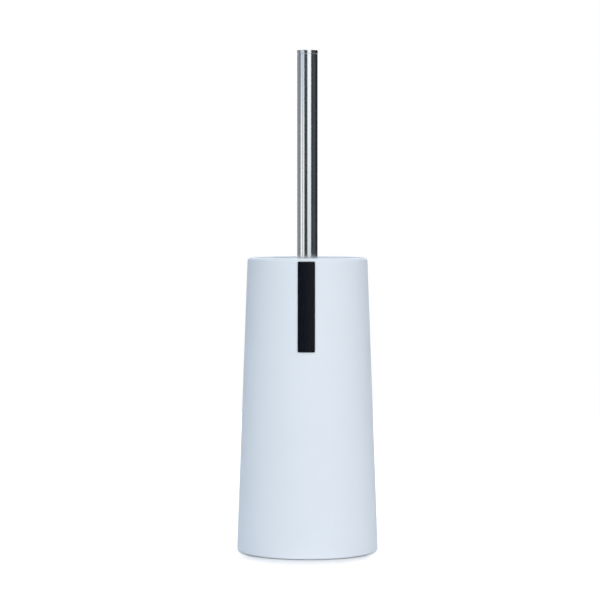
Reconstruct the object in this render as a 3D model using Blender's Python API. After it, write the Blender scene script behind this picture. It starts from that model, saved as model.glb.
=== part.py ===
"""Toilet brush holder: a tapered holder with a drip cup inside, a sunk lid, and a brush on a steel handle.

Metres, +Z up. The origin is the centre of the footprint on the floor, and the label faces -Y.
The brush and its lid are modelled at rest, standing in the holder.
"""

import math

import bmesh
import bpy
from mathutils import Matrix, Vector

# ---- Driving dimensions ----

# Holder shell, a one-piece cone that is open underneath
SHELL_HEIGHT = 0.2279
SHELL_LIFT = 0.0006
FOOT_RADIUS = 0.0549
MOUTH_RADIUS = 0.0465
SHELL_WALL = 0.0026
RIM_WALL = 0.0040
RIM_ROUND = 0.0030
RIM_INNER_ROUND = 0.0006
FOOT_ROUND = 0.0020
LEDGE_WIDTH = 0.0033
LEDGE_DEPTH = 0.0030
LEDGE_HAUNCH = 0.0045

# Label strip, let into the front of the shell
LABEL_WIDTH = 0.0130
LABEL_HEIGHT = 0.0686
LABEL_DROP = 0.0024
LABEL_THICKNESS = 0.0007
LABEL_POCKET_DEPTH = 0.0006
LABEL_CORNER = 0.0008

# Base plate, snapped into the shell from below
BASE_RECESS = 0.0010
BASE_THICKNESS = 0.0020
BASE_WALL = 0.0018
BASE_WALL_HEIGHT = 0.0120
CUP_RING_HEIGHT = 0.0070
CUP_RING_WALL = 0.0016
RIB_WIDTH = 0.0016
RIB_HEIGHT = 0.0050
BASE_RIBS = 8
SNAPS = 4
SNAP_WIDTH = 0.0100
SNAP_LUG_HEIGHT = 0.0026
SNAP_LUG_REACH = 0.0015
SNAP_RISE = 0.0048
SNAP_SLOT = 0.0012

# Foot pads
PADS = 4
PAD_RADIUS = 0.0050
PAD_POCKET_DEPTH = 0.0010
PAD_ROUND = 0.0004
PAD_EDGE_INSET = 0.0055

# Drip cup
CUP_HEIGHT = 0.0960
CUP_WALL = 0.0015
CUP_FLOOR = 0.0018
CUP_DRAFT = 0.0010
CUP_CORNER = 0.0060
CUP_FOOT_HEIGHT = 0.0010
CUP_FOOT_WIDTH = 0.0020
CUP_NOTCH_RADIUS = 0.0090

# Lid
LID_RECESS = 0.0015
LID_THICKNESS = 0.0025
LID_ROUND = 0.0007
LID_SKIRT_DEPTH = 0.0060
LID_SKIRT_WALL = 0.0016
LID_HUB_WALL = 0.0036
LID_HUB_DEPTH = 0.0120
LID_RIBS = 6

# Handle
HANDLE_RISE = 0.1604
TUBE_RADIUS = 0.0080
TUBE_WALL = 0.0008
CAP_THICKNESS = 0.0028
CAP_OVERHANG = 0.00012
CAP_ROUND = 0.0009
CAP_SPIGOT_LENGTH = 0.0120
CAP_SPIGOT_WALL = 0.0014
INSERT_LENGTH = 0.0360
INSERT_SETBACK = 0.0010

# Stem between the handle and the brush head
JOURNAL_RADIUS = 0.0052
COLLAR_RADIUS = 0.0090
COLLAR_THICKNESS = 0.0030
STEM_RADIUS = 0.0058
STEM_FOOT_RADIUS = 0.0068
STUD_RADIUS = 0.0040
TOP_STUD_LENGTH = 0.0260
FOOT_STUD_LENGTH = 0.0160

# Brush head
HEAD_FLOOR_GAP = 0.0045
CORE_RADIUS = 0.0130
CORE_NECK_RADIUS = 0.0088
CORE_NECK_HEIGHT = 0.0100
CORE_SHOULDER = 0.0060
ROW_PITCH = 0.0120
ROW_TILT_STEP = 8.0
ROWS = 3
ROW_TUFTS = 9
DOME_FIRST_TILT = -26.0
DOME_TILT_STEP = -30.0
DOME_TUFTS = (8, 5)
END_TUFT_LENGTH = 0.0140
HOLE_RADIUS = 0.0020
HOLE_DEPTH = 0.0045
TUFT_FILL_ACROSS = 0.37
TUFT_FILL_ALONG = 0.44

# ---- Clearances ----

SEAT_GAP = 0.0003
LID_FIT = 0.0004
CUP_PASS_GAP = 0.0007
CUP_RING_GAP = 0.0004
HEAD_SIDE_GAP = 0.0020
RUNNING_FIT = 0.0003
PRESS_FIT = 0.0003
THREAD_FIT = 0.0003
CLEAR_CUT = 0.0020

# ---- Facets ----

SHELL_SEGMENTS = 64
INNER_SEGMENTS = 44
HANDLE_SEGMENTS = 32
ROD_SEGMENTS = 24
PAD_SEGMENTS = 16
TUFT_SIDES = 8
FILLET_STEPS = 3

# ---- Levels and radii that follow from the dimensions ----

TAPER = (FOOT_RADIUS - MOUTH_RADIUS) / SHELL_HEIGHT
RIM_Z = SHELL_LIFT + SHELL_HEIGHT
LID_TOP_Z = RIM_Z - LID_RECESS
LID_UNDER_Z = LID_TOP_Z - LID_THICKNESS
LEDGE_TOP_Z = LID_UNDER_Z - SEAT_GAP
OPENING_RADIUS = MOUTH_RADIUS - RIM_WALL
LEDGE_RADIUS = OPENING_RADIUS - LEDGE_WIDTH
LID_RADIUS = OPENING_RADIUS - LID_FIT
SKIRT_RADIUS = LEDGE_RADIUS - LID_FIT
HUB_RADIUS = JOURNAL_RADIUS + RUNNING_FIT + LID_HUB_WALL
HUB_FOOT_Z = LID_UNDER_Z - LID_HUB_DEPTH

BASE_UNDER_Z = SHELL_LIFT + BASE_RECESS
BASE_TOP_Z = BASE_UNDER_Z + BASE_THICKNESS
CUP_FOOT_Z = BASE_TOP_Z + SEAT_GAP
CUP_RADIUS = LEDGE_RADIUS - CUP_PASS_GAP
CUP_FLOOR_Z = CUP_FOOT_Z + CUP_FOOT_HEIGHT + CUP_FLOOR

HEAD_RADIUS = CUP_RADIUS - CUP_DRAFT - CUP_WALL - HEAD_SIDE_GAP
HEAD_FOOT_Z = CUP_FLOOR_Z + HEAD_FLOOR_GAP
DOME_Z = HEAD_FOOT_Z + END_TUFT_LENGTH + CORE_RADIUS
LOWEST_ROW_Z = DOME_Z + HOLE_RADIUS + SHELL_WALL
CORE_SHOULDER_Z = LOWEST_ROW_Z + ROW_PITCH * (ROWS - 0.5)
CORE_TOP_Z = CORE_SHOULDER_Z + CORE_SHOULDER + CORE_NECK_HEIGHT

HANDLE_TOP_Z = RIM_Z + HANDLE_RISE
TUBE_FOOT_Z = LID_TOP_Z + SEAT_GAP
TUBE_TOP_Z = HANDLE_TOP_Z - CAP_THICKNESS - SEAT_GAP
TUBE_BORE = TUBE_RADIUS - TUBE_WALL
INSERT_FOOT_Z = TUBE_FOOT_Z + INSERT_SETBACK
JOURNAL_TOP_Z = INSERT_FOOT_Z - SEAT_GAP
COLLAR_TOP_Z = HUB_FOOT_Z - SEAT_GAP
STEM_FOOT_Z = CORE_TOP_Z + SEAT_GAP


def outer_radius(height):
    """Radius of the shell's outside, height above the shell's foot."""
    return FOOT_RADIUS - TAPER * height


def inner_radius(height):
    return outer_radius(height) - SHELL_WALL


# ---- Modelling helpers ----


def clear_scene():
    for thing in list(bpy.data.objects):
        bpy.data.objects.remove(thing, do_unlink=True)


def material(name, colour, roughness, metallic=0.0):
    made = bpy.data.materials.new(name)
    made.use_nodes = True
    shader = made.node_tree.nodes["Principled BSDF"]
    shader.inputs["Base Color"].default_value = (*colour, 1.0)
    shader.inputs["Roughness"].default_value = roughness
    shader.inputs["Metallic"].default_value = metallic
    return made


def filleted(corners, closed=True):
    """The outline through (radius, height, fillet) corners, each fillet as an arc."""
    points = []
    count = len(corners)
    for index, (radius, height, fillet) in enumerate(corners):
        corner = Vector((radius, height))
        is_end = not closed and index in (0, count - 1)
        if fillet == 0 or is_end:
            points.append(corner)
            continue
        before = Vector(corners[index - 1][:2]) - corner
        after = Vector(corners[(index + 1) % count][:2]) - corner
        half = before.angle(after) / 2
        middle = (before.normalized() + after.normalized()).normalized()
        centre = corner + middle * (fillet / math.sin(half))
        first = corner + before.normalized() * (fillet / math.tan(half)) - centre
        last = corner + after.normalized() * (fillet / math.tan(half)) - centre
        swing = -first.angle_signed(last)
        for step in range(FILLET_STEPS + 1):
            turn = Matrix.Rotation(swing * step / FILLET_STEPS, 2)
            points.append(centre + turn @ first)
    return points


def turned(corners, segments):
    """A solid of revolution about Z. An outline that starts and ends on the axis is closed by the turn."""
    closed = corners[0][0] > 0 or corners[-1][0] > 0
    outline = filleted(corners, closed)
    shape = bmesh.new()
    ring = [shape.verts.new((point.x, 0.0, point.y)) for point in outline]
    edges = [shape.edges.new(pair) for pair in zip(ring, ring[1:])]
    if closed:
        edges.append(shape.edges.new((ring[-1], ring[0])))
    bmesh.ops.spin(
        shape,
        geom=ring + edges,
        cent=(0, 0, 0),
        axis=(0, 0, 1),
        angle=math.tau,
        steps=segments,
        use_merge=True,
    )
    bmesh.ops.remove_doubles(shape, verts=shape.verts, dist=1e-6)
    bmesh.ops.recalc_face_normals(shape, faces=shape.faces)
    return shape


def add_prism(shape, outline, width, turn):
    """Adds a prism: an outline of (radius, height) points, extruded across, then turned about Z."""
    corners = [shape.verts.new((radius, -width / 2, height)) for radius, height in outline]
    face = shape.faces.new(corners)
    pushed = bmesh.ops.extrude_face_region(shape, geom=[face])["geom"]
    moved = [item for item in pushed if isinstance(item, bmesh.types.BMVert)]
    bmesh.ops.translate(shape, verts=moved, vec=(0, width, 0))
    bmesh.ops.rotate(shape, verts=corners + moved, matrix=Matrix.Rotation(turn, 3, "Z"))
    bmesh.ops.recalc_face_normals(shape, faces=shape.faces)


def evenly(count, start=0.0):
    return [start + math.tau * index / count for index in range(count)]


def add_cylinder(shape, radius, length, matrix, segments):
    """Adds a cylinder centred on the matrix's origin, along its Z."""
    bmesh.ops.create_cone(
        shape,
        cap_ends=True,
        segments=segments,
        radius1=radius,
        radius2=radius,
        depth=length,
        matrix=matrix,
    )


def finished(name, shape, look, parent=None, height=0.0, sharp=30.0):
    """Makes the shape an object with its datum at this height, under its carrier if it has one."""
    mesh = bpy.data.meshes.new(name)
    bmesh.ops.translate(shape, verts=shape.verts, vec=(0, 0, -height))
    shape.to_mesh(mesh)
    shape.free()
    mesh.shade_smooth()
    mesh.set_sharp_from_angle(angle=math.radians(sharp))
    mesh.materials.append(look)
    made = bpy.data.objects.new(name, mesh)
    bpy.context.scene.collection.objects.link(made)
    made.location = (0, 0, height - (parent.location.z if parent else 0))
    made.parent = parent
    return made


def boolean(target, tool, operation):
    """Cuts or joins a helper shape, given in world coordinates, to the target."""
    mesh = bpy.data.meshes.new(f"{target.name}_{operation.lower()}")
    tool.to_mesh(mesh)
    tool.free()
    helper = bpy.data.objects.new(mesh.name, mesh)
    bpy.context.scene.collection.objects.link(helper)
    helper.hide_render = True
    helper.display_type = "WIRE"
    modifier = target.modifiers.new(operation.title(), "BOOLEAN")
    modifier.operation = operation
    modifier.object = helper


def carrier(name, height):
    """An empty on the holder's axis that a moving group hangs from."""
    made = bpy.data.objects.new(name, None)
    bpy.context.scene.collection.objects.link(made)
    made.location = (0, 0, height)
    return made


# ---- Holder ----


def strip_on_cone(low_offset, high_offset, grow):
    """A strip on the front of the cone, between two offsets from its surface, grown by a margin."""
    half = LABEL_WIDTH / 2 + grow
    corner = LABEL_CORNER + grow
    top = RIM_Z - LABEL_DROP + grow
    foot = RIM_Z - LABEL_DROP - LABEL_HEIGHT - grow
    bends = [math.radians(90 * step / FILLET_STEPS) for step in range(FILLET_STEPS + 1)]
    edge = [(half - corner + corner * math.cos(bend), corner - corner * math.sin(bend)) for bend in bends]
    across = [(-x, drop) for x, drop in edge] + [(0, 0)] + [(x, drop) for x, drop in reversed(edge)]
    shape = bmesh.new()
    columns = []
    for x, drop in across:
        column = []
        for height, offset in ((foot + drop, high_offset), (top - drop, high_offset),
                               (top - drop, low_offset), (foot + drop, low_offset)):
            radius = outer_radius(height - SHELL_LIFT) + offset
            column.append(shape.verts.new((x, -math.sqrt(radius**2 - x**2), height)))
        columns.append(column)
    for left, right in zip(columns, columns[1:]):
        for index in range(4):
            after = (index + 1) % 4
            shape.faces.new((left[index], right[index], right[after], left[after]))
    shape.faces.new(columns[0])
    shape.faces.new(columns[-1])
    bmesh.ops.recalc_face_normals(shape, faces=shape.faces)
    return shape


def make_shell(look):
    """The cone, with a ledge that the lid sits on and lugs that hold the base plate."""
    ledge_top = LEDGE_TOP_Z - SHELL_LIFT
    ledge_under = ledge_top - LEDGE_DEPTH
    corners = [
        (outer_radius(0), 0, FOOT_ROUND),
        (outer_radius(SHELL_HEIGHT), SHELL_HEIGHT, RIM_ROUND),
        (OPENING_RADIUS, SHELL_HEIGHT, RIM_INNER_ROUND),
        (OPENING_RADIUS, ledge_top, 0),
        (LEDGE_RADIUS, ledge_top, 0),
        (LEDGE_RADIUS, ledge_under, 0),
        (inner_radius(ledge_under - LEDGE_HAUNCH), ledge_under - LEDGE_HAUNCH, RIM_ROUND),
        (inner_radius(0), 0, 0),
    ]
    lifted = [(radius, height + SHELL_LIFT, fillet) for radius, height, fillet in corners]
    shape = turned(lifted, SHELL_SEGMENTS)
    shell = finished("holder_shell", shape, look)

    lugs = bmesh.new()
    low = SHELL_LIFT + SNAP_RISE
    high = low + SNAP_LUG_HEIGHT
    for turn in evenly(SNAPS, math.radians(45)):
        root = inner_radius(SNAP_RISE) + SHELL_WALL / 2
        reach = inner_radius(SNAP_RISE + SNAP_LUG_HEIGHT) - SNAP_LUG_REACH
        ramp = [(root, low), (root, high), (reach, high), (reach, high - SNAP_LUG_HEIGHT / 3)]
        add_prism(lugs, ramp, SNAP_WIDTH, turn)
    boolean(shell, lugs, "UNION")
    boolean(shell, strip_on_cone(-LABEL_POCKET_DEPTH, CLEAR_CUT, PRESS_FIT), "DIFFERENCE")
    return shell


def make_label(look):
    foot = SEAT_GAP - LABEL_POCKET_DEPTH
    return finished("label_strip", strip_on_cone(foot, foot + LABEL_THICKNESS, 0), look)


def make_base(look):
    """A dish with a ring that centres the cup, ribs out to its wall, and four snap tongues."""
    wall_top = BASE_UNDER_Z + BASE_WALL_HEIGHT
    foot_radius = inner_radius(BASE_RECESS) - SEAT_GAP
    top_radius = inner_radius(wall_top - SHELL_LIFT) - SEAT_GAP
    ring_inside = CUP_RADIUS + CUP_RING_GAP
    ring_outside = ring_inside + CUP_RING_WALL
    ring_top = BASE_TOP_Z + CUP_RING_HEIGHT
    corners = [
        (0, BASE_UNDER_Z, 0),
        (foot_radius, BASE_UNDER_Z, 0),
        (top_radius, wall_top, 0),
        (top_radius - BASE_WALL, wall_top, 0),
        (foot_radius - BASE_WALL, BASE_TOP_Z, 0),
        (ring_outside, BASE_TOP_Z, 0),
        (ring_outside, ring_top, 0),
        (ring_inside, ring_top, 0),
        (ring_inside, BASE_TOP_Z, 0),
        (0, BASE_TOP_Z, 0),
    ]
    base = finished("base_plate", turned(corners, SHELL_SEGMENTS), look, height=BASE_UNDER_Z)

    ribs = bmesh.new()
    rib_top = BASE_TOP_Z + RIB_HEIGHT
    inside = ring_outside - CUP_RING_WALL / 2
    outside = inner_radius(rib_top) - SEAT_GAP - BASE_WALL / 2
    for turn in evenly(BASE_RIBS, math.radians(22.5)):
        foot = BASE_TOP_Z - BASE_THICKNESS / 2
        outline = [(inside, foot), (outside, foot), (outside, rib_top), (inside, rib_top)]
        add_prism(ribs, outline, RIB_WIDTH, turn)
    boolean(base, ribs, "UNION")

    cuts = bmesh.new()
    low = SHELL_LIFT + SNAP_RISE - SEAT_GAP
    high = low + SNAP_LUG_HEIGHT + 2 * SEAT_GAP
    near = top_radius - BASE_WALL - CLEAR_CUT
    far = foot_radius + CLEAR_CUT
    slot_offset = (SNAP_WIDTH / 2 + BASE_WALL + SNAP_SLOT) / foot_radius
    for turn in evenly(SNAPS, math.radians(45)):
        window = [(near, low), (far, low), (far, high), (near, high)]
        add_prism(cuts, window, SNAP_WIDTH + 2 * SEAT_GAP, turn)
        top = wall_top + CLEAR_CUT
        slot = [(near, low), (far, low), (far, top), (near, top)]
        for side in (-slot_offset, slot_offset):
            add_prism(cuts, slot, SNAP_SLOT, turn + side)
    for turn in evenly(PADS):
        x, y = pad_circle() * math.cos(turn), pad_circle() * math.sin(turn)
        centre = Matrix.Translation((x, y, BASE_UNDER_Z))
        add_cylinder(cuts, PAD_RADIUS + SEAT_GAP, 2 * PAD_POCKET_DEPTH, centre, PAD_SEGMENTS)
    boolean(base, cuts, "DIFFERENCE")
    return base


def pad_circle():
    """Radius of the circle that the foot pads' centres lie on."""
    return inner_radius(BASE_RECESS) - SEAT_GAP - PAD_EDGE_INSET - PAD_RADIUS


def make_pads(look):
    top = BASE_UNDER_Z + PAD_POCKET_DEPTH - SEAT_GAP
    corners = [(0, 0, 0), (PAD_RADIUS, 0, PAD_ROUND), (PAD_RADIUS, top, 0), (0, top, 0)]
    for index, turn in enumerate(evenly(PADS)):
        pad = finished(f"foot_pad_{index + 1}", turned(corners, PAD_SEGMENTS), look)
        pad.location.xy = pad_circle() * math.cos(turn), pad_circle() * math.sin(turn)


def make_cup(look):
    """A drafted cup on a foot ring, with two finger notches in its rim."""
    top = CUP_FOOT_Z + CUP_HEIGHT
    floor_under = CUP_FOOT_Z + CUP_FOOT_HEIGHT
    foot_radius = CUP_RADIUS - CUP_DRAFT
    ring = foot_radius - CUP_CORNER
    corners = [
        (0, floor_under, 0),
        (ring - CUP_FOOT_WIDTH, floor_under, 0),
        (ring - CUP_FOOT_WIDTH, CUP_FOOT_Z, 0),
        (ring, CUP_FOOT_Z, 0),
        (ring, floor_under, 0),
        (foot_radius, floor_under, CUP_CORNER - CUP_WALL),
        (CUP_RADIUS, top, CUP_WALL / 3),
        (CUP_RADIUS - CUP_WALL, top, CUP_WALL / 3),
        (foot_radius - CUP_WALL, CUP_FLOOR_Z, CUP_CORNER - 2 * CUP_WALL),
        (0, CUP_FLOOR_Z, 0),
    ]
    cup = finished("drip_cup", turned(corners, INNER_SEGMENTS), look, height=CUP_FOOT_Z)
    notch = bmesh.new()
    along_x = Matrix.Translation((0, 0, top)) @ Matrix.Rotation(math.radians(90), 4, "Y")
    add_cylinder(notch, CUP_NOTCH_RADIUS, 2 * CUP_RADIUS + 2 * CLEAR_CUT, along_x, ROD_SEGMENTS)
    boolean(cup, notch, "DIFFERENCE")
    return cup


# ---- Lid ----


def make_lid(look, parent):
    """A disc with a skirt that centres it in the ledge, a hub round the journal, and ribs between them."""
    skirt_foot = LID_UNDER_Z - LID_SKIRT_DEPTH
    skirt_inside = SKIRT_RADIUS - LID_SKIRT_WALL
    bore = JOURNAL_RADIUS + RUNNING_FIT
    corners = [
        (bore, HUB_FOOT_Z, 0),
        (HUB_RADIUS, HUB_FOOT_Z, 0),
        (HUB_RADIUS, LID_UNDER_Z, 0),
        (skirt_inside, LID_UNDER_Z, 0),
        (skirt_inside, skirt_foot, 0),
        (SKIRT_RADIUS, skirt_foot, 0),
        (SKIRT_RADIUS, LID_UNDER_Z, 0),
        (LID_RADIUS, LID_UNDER_Z, 0),
        (LID_RADIUS, LID_TOP_Z, LID_ROUND),
        (bore, LID_TOP_Z, 0),
    ]
    lid = finished("lid", turned(corners, INNER_SEGMENTS), look, parent, LID_TOP_Z)
    ribs = bmesh.new()
    inside = HUB_RADIUS - LID_HUB_WALL / 2
    outside = skirt_inside + LID_SKIRT_WALL / 2
    embed = LID_UNDER_Z + LID_THICKNESS / 2
    outline = [
        (inside, embed),
        (outside, embed),
        (outside, skirt_foot + RIB_WIDTH),
        (inside, HUB_FOOT_Z + RIB_WIDTH),
    ]
    for turn in evenly(LID_RIBS):
        add_prism(ribs, outline, RIB_WIDTH, turn)
    boolean(lid, ribs, "UNION")
    return lid


# ---- Handle and stem ----


def make_tube(look, parent):
    corners = [
        (TUBE_BORE, TUBE_FOOT_Z, 0),
        (TUBE_RADIUS, TUBE_FOOT_Z, 0),
        (TUBE_RADIUS, TUBE_TOP_Z, 0),
        (TUBE_BORE, TUBE_TOP_Z, 0),
    ]
    return finished("handle_tube", turned(corners, HANDLE_SEGMENTS), look, parent, TUBE_FOOT_Z)


def make_cap(look, parent):
    """A cap with a hollow spigot that goes down inside the tube."""
    seat = HANDLE_TOP_Z - CAP_THICKNESS
    spigot = TUBE_BORE - PRESS_FIT
    spigot_foot = seat - CAP_SPIGOT_LENGTH
    rim = TUBE_RADIUS + CAP_OVERHANG
    corners = [
        (0, HANDLE_TOP_Z, 0),
        (rim, HANDLE_TOP_Z, CAP_ROUND),
        (rim, seat, 0),
        (spigot, seat, 0),
        (spigot, spigot_foot, CAP_SPIGOT_WALL / 3),
        (spigot - CAP_SPIGOT_WALL, spigot_foot, 0),
        (spigot - CAP_SPIGOT_WALL, seat, 0),
        (0, seat, 0),
    ]
    return finished("handle_top_cap", turned(corners, HANDLE_SEGMENTS), look, parent, seat)


def make_insert(look, parent):
    """A plug with a blind bore for the stem's threaded stud."""
    radius = TUBE_BORE - PRESS_FIT
    bore = STUD_RADIUS + THREAD_FIT
    bore_top = JOURNAL_TOP_Z + TOP_STUD_LENGTH + CLEAR_CUT
    top = INSERT_FOOT_Z + INSERT_LENGTH
    corners = [
        (0, top, 0),
        (radius, top, (radius - bore) / 2),
        (radius, INSERT_FOOT_Z, 0),
        (bore, INSERT_FOOT_Z, 0),
        (bore, bore_top, 0),
        (0, bore_top, 0),
    ]
    return finished("handle_insert", turned(corners, ROD_SEGMENTS), look, parent, INSERT_FOOT_Z)


def make_stem(look, parent):
    """A rod with a stud at each end, and a journal between the insert and a collar, which traps the lid."""
    collar_foot = COLLAR_TOP_Z - COLLAR_THICKNESS
    stud_top = JOURNAL_TOP_Z + TOP_STUD_LENGTH
    stud_foot = STEM_FOOT_Z - FOOT_STUD_LENGTH
    corners = [
        (0, stud_top, 0),
        (STUD_RADIUS, stud_top, STUD_RADIUS / 4),
        (STUD_RADIUS, JOURNAL_TOP_Z, 0),
        (JOURNAL_RADIUS, JOURNAL_TOP_Z, 0),
        (JOURNAL_RADIUS, COLLAR_TOP_Z, 0),
        (COLLAR_RADIUS, COLLAR_TOP_Z, 0),
        (COLLAR_RADIUS, collar_foot, COLLAR_THICKNESS / 3),
        (STEM_RADIUS, collar_foot, 0),
        (STEM_FOOT_RADIUS, STEM_FOOT_Z, 0),
        (STUD_RADIUS, STEM_FOOT_Z, 0),
        (STUD_RADIUS, stud_foot, STUD_RADIUS / 4),
        (0, stud_foot, 0),
    ]
    return finished("stem", turned(corners, ROD_SEGMENTS), look, parent, COLLAR_TOP_Z)


# ---- Brush head ----


def reach_to_envelope(tilt):
    """Distance from the dome's centre to the head's rounded end, along a tilt below the horizontal."""
    depth = DOME_Z - HEAD_FOOT_Z
    return 1 / math.hypot(math.cos(tilt) / HEAD_RADIUS, math.sin(tilt) / depth)


def tuft_seats():
    """Yields each tuft's hole mouth, direction, length, and half widths of its tip across and along."""
    stagger = math.pi / ROW_TUFTS
    free = HEAD_RADIUS - CORE_RADIUS
    across = TUFT_FILL_ACROSS * math.tau * HEAD_RADIUS / ROW_TUFTS
    along = TUFT_FILL_ALONG * (ROW_PITCH + free * math.tan(math.radians(ROW_TILT_STEP)))
    for row in range(ROWS):
        tilt = math.radians(ROW_TILT_STEP * ((ROWS - 1) / 2 - row))
        height = LOWEST_ROW_Z + ROW_PITCH * (ROWS - 1 - row)
        for turn in evenly(ROW_TUFTS, stagger * row):
            out = Vector((math.cos(turn), math.sin(turn), 0))
            aim = out * math.cos(tilt) + Vector((0, 0, math.sin(tilt)))
            yield out * CORE_RADIUS + Vector((0, 0, height)), aim, free / math.cos(tilt), across, along
    for row, count in enumerate(DOME_TUFTS):
        tilt = math.radians(DOME_FIRST_TILT + DOME_TILT_STEP * row)
        reach = reach_to_envelope(tilt)
        dome_along = TUFT_FILL_ALONG * reach * math.radians(-DOME_TILT_STEP)
        dome_across = TUFT_FILL_ACROSS * math.tau * reach * math.cos(tilt) / count
        for turn in evenly(count, stagger * (row + ROWS)):
            aim = Vector((math.cos(turn) * math.cos(tilt), math.sin(turn) * math.cos(tilt), math.sin(tilt)))
            mouth = Vector((0, 0, DOME_Z)) + aim * CORE_RADIUS
            yield mouth, aim, reach - CORE_RADIUS, min(across, dome_across), min(along, dome_along)
    down = Vector((0, 0, -1))
    end_half = TUFT_FILL_ALONG * END_TUFT_LENGTH
    yield Vector((0, 0, DOME_Z)) + down * CORE_RADIUS, down, END_TUFT_LENGTH, end_half, end_half


def tuft_frame(mouth, aim):
    """A matrix at the hole's mouth, with Z along the tuft and X across it, level."""
    level = Vector((0, 0, 1)).cross(aim)
    across = level.normalized() if level.length > 1e-6 else Vector((1, 0, 0))
    along = aim.cross(across)
    turn = Matrix((across, along, aim)).transposed()
    return Matrix.Translation(mouth) @ turn.to_4x4()


def make_core(look, parent):
    """A round-ended body with a threaded socket in its neck and a blind hole for each tuft."""
    socket = STUD_RADIUS + THREAD_FIT
    socket_foot = STEM_FOOT_Z - FOOT_STUD_LENGTH - CLEAR_CUT
    neck_foot = CORE_SHOULDER_Z + CORE_SHOULDER
    dome_steps = 2 * FILLET_STEPS
    bends = [math.radians(90 * step / dome_steps) for step in range(1, dome_steps)]
    dome = [(CORE_RADIUS * math.cos(bend), DOME_Z - CORE_RADIUS * math.sin(bend), 0) for bend in bends]
    corners = [
        (0, socket_foot, 0),
        (socket, socket_foot, 0),
        (socket, CORE_TOP_Z, 0),
        (CORE_NECK_RADIUS, CORE_TOP_Z, 0),
        (CORE_NECK_RADIUS, neck_foot, 0),
        (CORE_RADIUS, CORE_SHOULDER_Z, 0),
        (CORE_RADIUS, DOME_Z, 0),
        *dome,
        (0, DOME_Z - CORE_RADIUS, 0),
    ]
    core = finished("brush_core", turned(corners, ROD_SEGMENTS), look, parent, CORE_TOP_Z)
    holes = bmesh.new()
    for mouth, aim, *_ in tuft_seats():
        add_cylinder(holes, HOLE_RADIUS, 2 * HOLE_DEPTH, tuft_frame(mouth, aim), TUFT_SIDES)
    boolean(core, holes, "DIFFERENCE")
    return core


def make_tuft(name, length, across, along, look):
    """Bristles of one length from a round root: an oval cone whose end is domed."""
    root = HOLE_RADIUS - PRESS_FIT
    free = length + HOLE_DEPTH
    bends = evenly(TUFT_SIDES)
    shape = bmesh.new()
    rings = []
    for height, half_x, half_y in (
        (SEAT_GAP - HOLE_DEPTH, root, root),
        (0, root, root),
        (length, across, along),
        (length, across / 2, along / 2),
    ):
        ring = []
        for bend in bends:
            x, y = half_x * math.cos(bend), half_y * math.sin(bend)
            drop = (x * x + y * y) / (2 * free) if height == length else 0
            ring.append(shape.verts.new((x, y, height - drop)))
        rings.append(ring)
    for lower, upper in zip(rings, rings[1:]):
        for index in range(TUFT_SIDES):
            after = (index + 1) % TUFT_SIDES
            shape.faces.new((lower[index], lower[after], upper[after], upper[index]))
    shape.faces.new(reversed(rings[0]))
    shape.faces.new(rings[-1])
    return finished(name, shape, look)


def make_tufts(look, parent):
    for index, (mouth, aim, length, across, along) in enumerate(tuft_seats()):
        tuft = make_tuft(f"bristle_tuft_{index + 1:02d}", length, across, along, look)
        tuft.parent = parent
        tuft.matrix_local = Matrix.Translation(-parent.location) @ tuft_frame(mouth, aim)


# ---- Assembly ----


def main():
    clear_scene()
    white = material("white_soft_touch", (0.75, 0.80, 0.86), 0.55)
    moulded = material("white_moulded", (0.78, 0.80, 0.82), 0.45)
    translucent = material("grey_moulded", (0.55, 0.58, 0.60), 0.5)
    black = material("black_strip", (0.012, 0.013, 0.018), 0.35)
    steel = material("polished_steel", (0.62, 0.62, 0.61), 0.18, 1.0)
    rubber = material("dark_rubber", (0.05, 0.05, 0.05), 0.8)
    bristle = material("white_bristle", (0.82, 0.84, 0.86), 0.6)

    make_shell(white)
    make_label(black)
    make_base(moulded)
    make_pads(rubber)
    make_cup(translucent)

    lid_carrier = carrier("lid_carrier", LID_TOP_Z)
    make_lid(white, lid_carrier)

    spindle = carrier("brush_spindle", LID_TOP_Z)
    make_tube(steel, spindle)
    make_cap(steel, spindle)
    make_insert(moulded, spindle)
    make_stem(moulded, spindle)
    make_core(moulded, spindle)
    make_tufts(bristle, spindle)


main()
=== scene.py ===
"""Toilet brush holder: fine surfaces, finishes, light and camera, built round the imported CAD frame.

Metres, +Z up, in the frame's own axes: the origin is on the floor under the handle, and the label faces -Y.
Outer sizes and places are read from the frame. Rounds, walls and steps inside them are named sizes below.
"""

import math
import random

import bmesh
import bpy
import numpy as np
from mathutils import Matrix, Vector


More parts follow.
